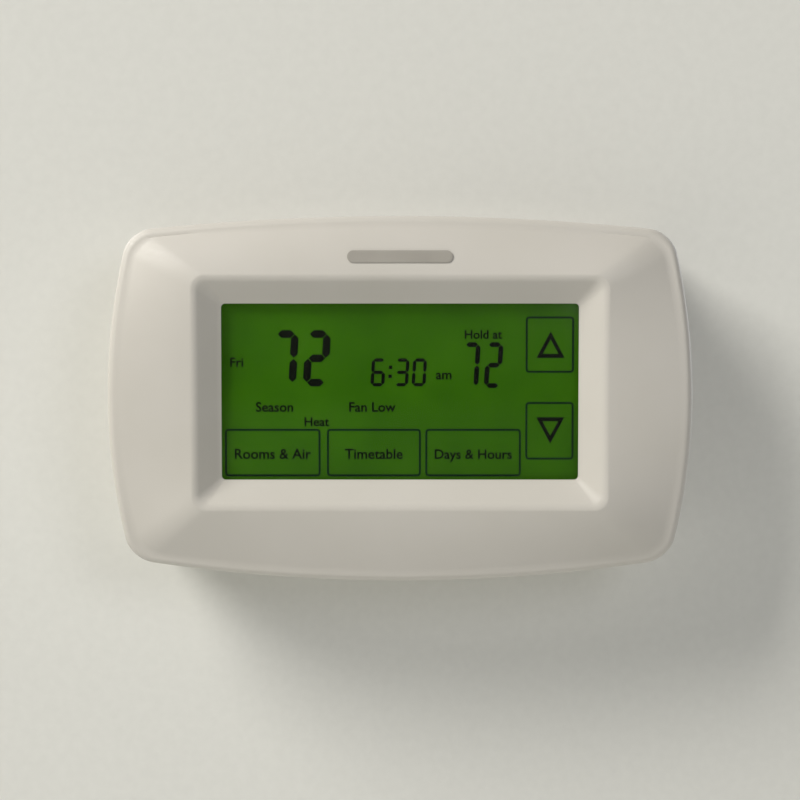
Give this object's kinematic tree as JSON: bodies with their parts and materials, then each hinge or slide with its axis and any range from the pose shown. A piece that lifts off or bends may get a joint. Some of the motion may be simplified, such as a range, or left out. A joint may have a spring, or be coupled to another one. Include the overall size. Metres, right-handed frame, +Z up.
{
  "type": "wall thermostat",
  "caption": "Touch-screen wall thermostat: bowed bezel with a recessed green display, pull-off head, wallplate with screw terminals, slide-out battery drawer.",
  "frame": {"origin": "centre of the wallplate's back face, on the wall", "axes": "+Z up, +X to the right as seen from the room, the screen faces -Y and the wall is on +Y"},
  "size_m": [0.145, 0.0357, 0.091],
  "materials": {
    "cover_abs": "fine spark texture",
    "plate_abs": "fine spark texture",
    "terminal_plastic": "moulded",
    "brass": "stamped, tin flashed",
    "screw_steel": "zinc plated",
    "touch_film": "hard-coated, glossy",
    "lcd_glass": "polarised, backlit green",
    "white_plastic": "moulded",
    "rubber": "layered silicone",
    "flex_film": "polyimide film",
    "board_laminate": "green solder resist",
    "chip_epoxy": "moulded epoxy",
    "relay_case": "moulded",
    "cell_jacket": "printed sleeve",
    "spring_steel": "nickel plated"
  },
  "bodies": {
    "wallplate": {"wallplate": "plate_abs", "terminal_block_upper": "terminal_plastic", "terminal_block_lower": "terminal_plastic", "terminal_contact_1": "brass", "terminal_contact_2": "brass", "terminal_contact_3": "brass", "terminal_contact_4": "brass", "terminal_contact_5": "brass", "terminal_contact_6": "brass"},
    "thermostat_head": {"front_cover": "cover_abs", "rear_cover": "cover_abs", "case_screw_1": "screw_steel", "case_screw_2": "screw_steel", "case_screw_3": "screw_steel", "case_screw_4": "screw_steel", "board_screw_1": "screw_steel", "board_screw_2": "screw_steel", "board_screw_3": "screw_steel", "board_screw_4": "screw_steel", "touch_panel": "touch_film", "touch_tail": "flex_film", "lcd_cell": "lcd_glass", "lcd_frame": "white_plastic", "backlight_guide": "white_plastic", "backlight_led_1": "white_plastic", "backlight_led_2": "white_plastic", "lcd_connector": "rubber", "main_board": "board_laminate", "relay_1": "relay_case", "relay_2": "relay_case", "relay_3": "relay_case", "backup_capacitor": "chip_epoxy", "microcontroller": "chip_epoxy", "crystal": "screw_steel", "buzzer": "chip_epoxy", "temperature_sensor": "chip_epoxy", "pin_header_upper": "terminal_plastic", "pin_header_lower": "terminal_plastic"},
    "battery_drawer": {"battery_drawer": "cover_abs", "battery_1": "cell_jacket", "battery_2": "cell_jacket", "battery_3": "cell_jacket", "battery_spring_1": "spring_steel", "battery_spring_2": "spring_steel", "battery_spring_3": "spring_steel", "battery_contact_1": "spring_steel", "battery_contact_2": "spring_steel", "battery_contact_3": "spring_steel"},
    "terminal_screw_1": {"terminal_screw_1": "screw_steel"},
    "terminal_cage_1": {"terminal_cage_1": "brass"},
    "terminal_screw_2": {"terminal_screw_2": "screw_steel"},
    "terminal_cage_2": {"terminal_cage_2": "brass"},
    "terminal_screw_3": {"terminal_screw_3": "screw_steel"},
    "terminal_cage_3": {"terminal_cage_3": "brass"},
    "terminal_screw_4": {"terminal_screw_4": "screw_steel"},
    "terminal_cage_4": {"terminal_cage_4": "brass"},
    "terminal_screw_5": {"terminal_screw_5": "screw_steel"},
    "terminal_cage_5": {"terminal_cage_5": "brass"},
    "terminal_screw_6": {"terminal_screw_6": "screw_steel"},
    "terminal_cage_6": {"terminal_cage_6": "brass"}
  },
  "joints": [
    {"name": "head_release", "type": "slide", "parent": "wallplate", "child": "thermostat_head", "axis": [0, -1, 0], "range_m": [0, 0.045]},
    {"name": "drawer_slide", "type": "slide", "parent": "thermostat_head", "child": "battery_drawer", "axis": [-1, 0, 0], "range_m": [0, 0.055]},
    {"name": "screw_turn_1", "type": "hinge", "parent": "wallplate", "child": "terminal_screw_1", "pos_m": [0.017, -0.014, 0.018], "axis": [0, -1, 0], "range_deg": [0, 1440]},
    {"name": "cage_lift_1", "type": "slide", "parent": "wallplate", "child": "terminal_cage_1", "axis": [0, 1, 0], "range_m": [0, 0.0024]},
    {"name": "screw_turn_2", "type": "hinge", "parent": "wallplate", "child": "terminal_screw_2", "pos_m": [0.026, -0.014, 0.018], "axis": [0, -1, 0], "range_deg": [0, 1440]},
    {"name": "cage_lift_2", "type": "slide", "parent": "wallplate", "child": "terminal_cage_2", "axis": [0, 1, 0], "range_m": [0, 0.0024]},
    {"name": "screw_turn_3", "type": "hinge", "parent": "wallplate", "child": "terminal_screw_3", "pos_m": [0.035, -0.014, 0.018], "axis": [0, -1, 0], "range_deg": [0, 1440]},
    {"name": "cage_lift_3", "type": "slide", "parent": "wallplate", "child": "terminal_cage_3", "axis": [0, 1, 0], "range_m": [0, 0.0024]},
    {"name": "screw_turn_4", "type": "hinge", "parent": "wallplate", "child": "terminal_screw_4", "pos_m": [0.017, -0.014, -0.018], "axis": [0, -1, 0], "range_deg": [0, 1440]},
    {"name": "cage_lift_4", "type": "slide", "parent": "wallplate", "child": "terminal_cage_4", "axis": [0, 1, 0], "range_m": [0, 0.0024]},
    {"name": "screw_turn_5", "type": "hinge", "parent": "wallplate", "child": "terminal_screw_5", "pos_m": [0.026, -0.014, -0.018], "axis": [0, -1, 0], "range_deg": [0, 1440]},
    {"name": "cage_lift_5", "type": "slide", "parent": "wallplate", "child": "terminal_cage_5", "axis": [0, 1, 0], "range_m": [0, 0.0024]},
    {"name": "screw_turn_6", "type": "hinge", "parent": "wallplate", "child": "terminal_screw_6", "pos_m": [0.035, -0.014, -0.018], "axis": [0, -1, 0], "range_deg": [0, 1440]},
    {"name": "cage_lift_6", "type": "slide", "parent": "wallplate", "child": "terminal_cage_6", "axis": [0, 1, 0], "range_m": [0, 0.0024]}
  ],
  "couplings": [
    {"joint": "screw_turn_1", "follows": "cage_lift_1", "rad_per_m": 10472},
    {"joint": "screw_turn_2", "follows": "cage_lift_2", "rad_per_m": 10472},
    {"joint": "screw_turn_3", "follows": "cage_lift_3", "rad_per_m": 10472},
    {"joint": "screw_turn_4", "follows": "cage_lift_4", "rad_per_m": 10472},
    {"joint": "screw_turn_5", "follows": "cage_lift_5", "rad_per_m": 10472},
    {"joint": "screw_turn_6", "follows": "cage_lift_6", "rad_per_m": 10472}
  ]
}
